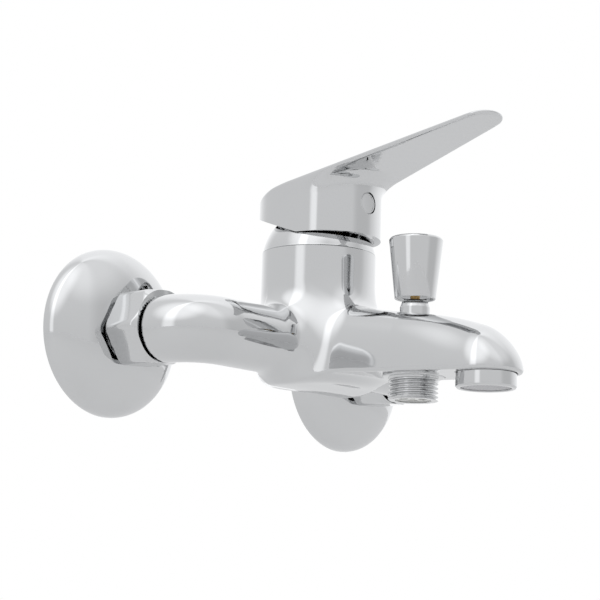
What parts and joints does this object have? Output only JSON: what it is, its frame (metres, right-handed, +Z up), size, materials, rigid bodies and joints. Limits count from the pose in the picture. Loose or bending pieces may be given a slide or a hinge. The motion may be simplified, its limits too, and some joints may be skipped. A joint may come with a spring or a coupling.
{
  "type": "wall mounted bath faucet",
  "caption": "Single-lever wall mixer for a bath: round barrel, two arms with domed cover plates, curved spout, pull-up diverter knob and a threaded shower outlet below.",
  "frame": {"origin": "on the finished wall plane, midway between the two inlets, at the height of the union nuts", "axes": "+X to the right along the wall, +Y into the wall, +Z up; the spout and lever point to -Y"},
  "size_m": [0.222, 0.1804, 0.1267],
  "materials": {
    "chrome": "polished chrome plate on brass",
    "raw_brass": "machined brass",
    "black_rubber": "matt EPDM rubber",
    "ceramic": "lapped alumina ceramic",
    "white_plastic": "moulded acetal",
    "grey_plastic": "moulded acetal",
    "chrome_plastic": "chrome plated ABS",
    "steel": "stainless steel"
  },
  "bodies": {
    "body": {"left_s_union": "raw_brass", "right_s_union": "raw_brass", "left_escutcheon": "chrome", "right_escutcheon": "chrome", "left_union_nut": "chrome", "right_union_nut": "chrome", "left_tail_bush": "raw_brass", "right_tail_bush": "raw_brass", "left_inlet_washer": "black_rubber", "right_inlet_washer": "black_rubber", "mixer_body": "chrome", "port_seals": "black_rubber", "cartridge_base": "white_plastic", "fixed_ceramic_disc": "ceramic", "cartridge_housing": "white_plastic", "cartridge_nut": "raw_brass", "dome_sleeve": "chrome", "diverter_bonnet": "chrome", "stem_o_ring": "black_rubber", "diverter_seat": "raw_brass", "diverter_spring": "steel", "shower_outlet": "chrome", "check_valve_body": "grey_plastic", "check_valve_spring": "steel", "aerator_ring": "chrome", "aerator_mesh": "steel", "aerator_insert": "white_plastic", "aerator_gasket": "black_rubber"},
    "cartridge_turn": {"cartridge_rotor": "grey_plastic", "pivot_pin": "steel"},
    "lever": {"lever_handle": "chrome", "lever_spindle": "raw_brass", "grub_screw": "steel", "index_plug": "chrome_plastic"},
    "disc_slider": {"moving_ceramic_disc": "ceramic", "disc_carrier": "white_plastic"},
    "diverter_spool": {"diverter_knob": "chrome", "diverter_stem": "raw_brass", "diverter_plunger": "raw_brass", "lower_plunger_washer": "black_rubber", "upper_plunger_washer": "black_rubber"},
    "check_poppet": {"check_valve_poppet": "white_plastic"}
  },
  "joints": [
    {"name": "lever_swing", "type": "hinge", "parent": "body", "child": "cartridge_turn", "pos_m": [0, -0.0523, 0.034], "axis": [0, 0, 1], "range_deg": [-45, 45]},
    {"name": "lever_lift", "type": "hinge", "parent": "cartridge_turn", "child": "lever", "pos_m": [0, -0.0523, 0.034], "axis": [-1, 0, 0], "range_deg": [0, 20]},
    {"name": "disc_slide", "type": "slide", "parent": "cartridge_turn", "child": "disc_slider", "axis": [0, -1, 0], "range_m": [0, 0.0038]},
    {"name": "diverter_pull", "type": "slide", "parent": "body", "child": "diverter_spool", "axis": [0, 0, 1], "range_m": [0, 0.0072], "stiffness_N_per_m": 150, "springref_m": -0.008, "deforming": ["diverter_spring"]},
    {"name": "check_valve_open", "type": "slide", "parent": "body", "child": "check_poppet", "axis": [0, 0, -1], "range_m": [0, 0.002], "stiffness_N_per_m": 60, "springref_m": -0.004, "deforming": ["check_valve_spring"]}
  ],
  "couplings": [
    {"joint": "disc_slide", "follows": "lever_lift", "m_per_rad": 0.0105}
  ]
}
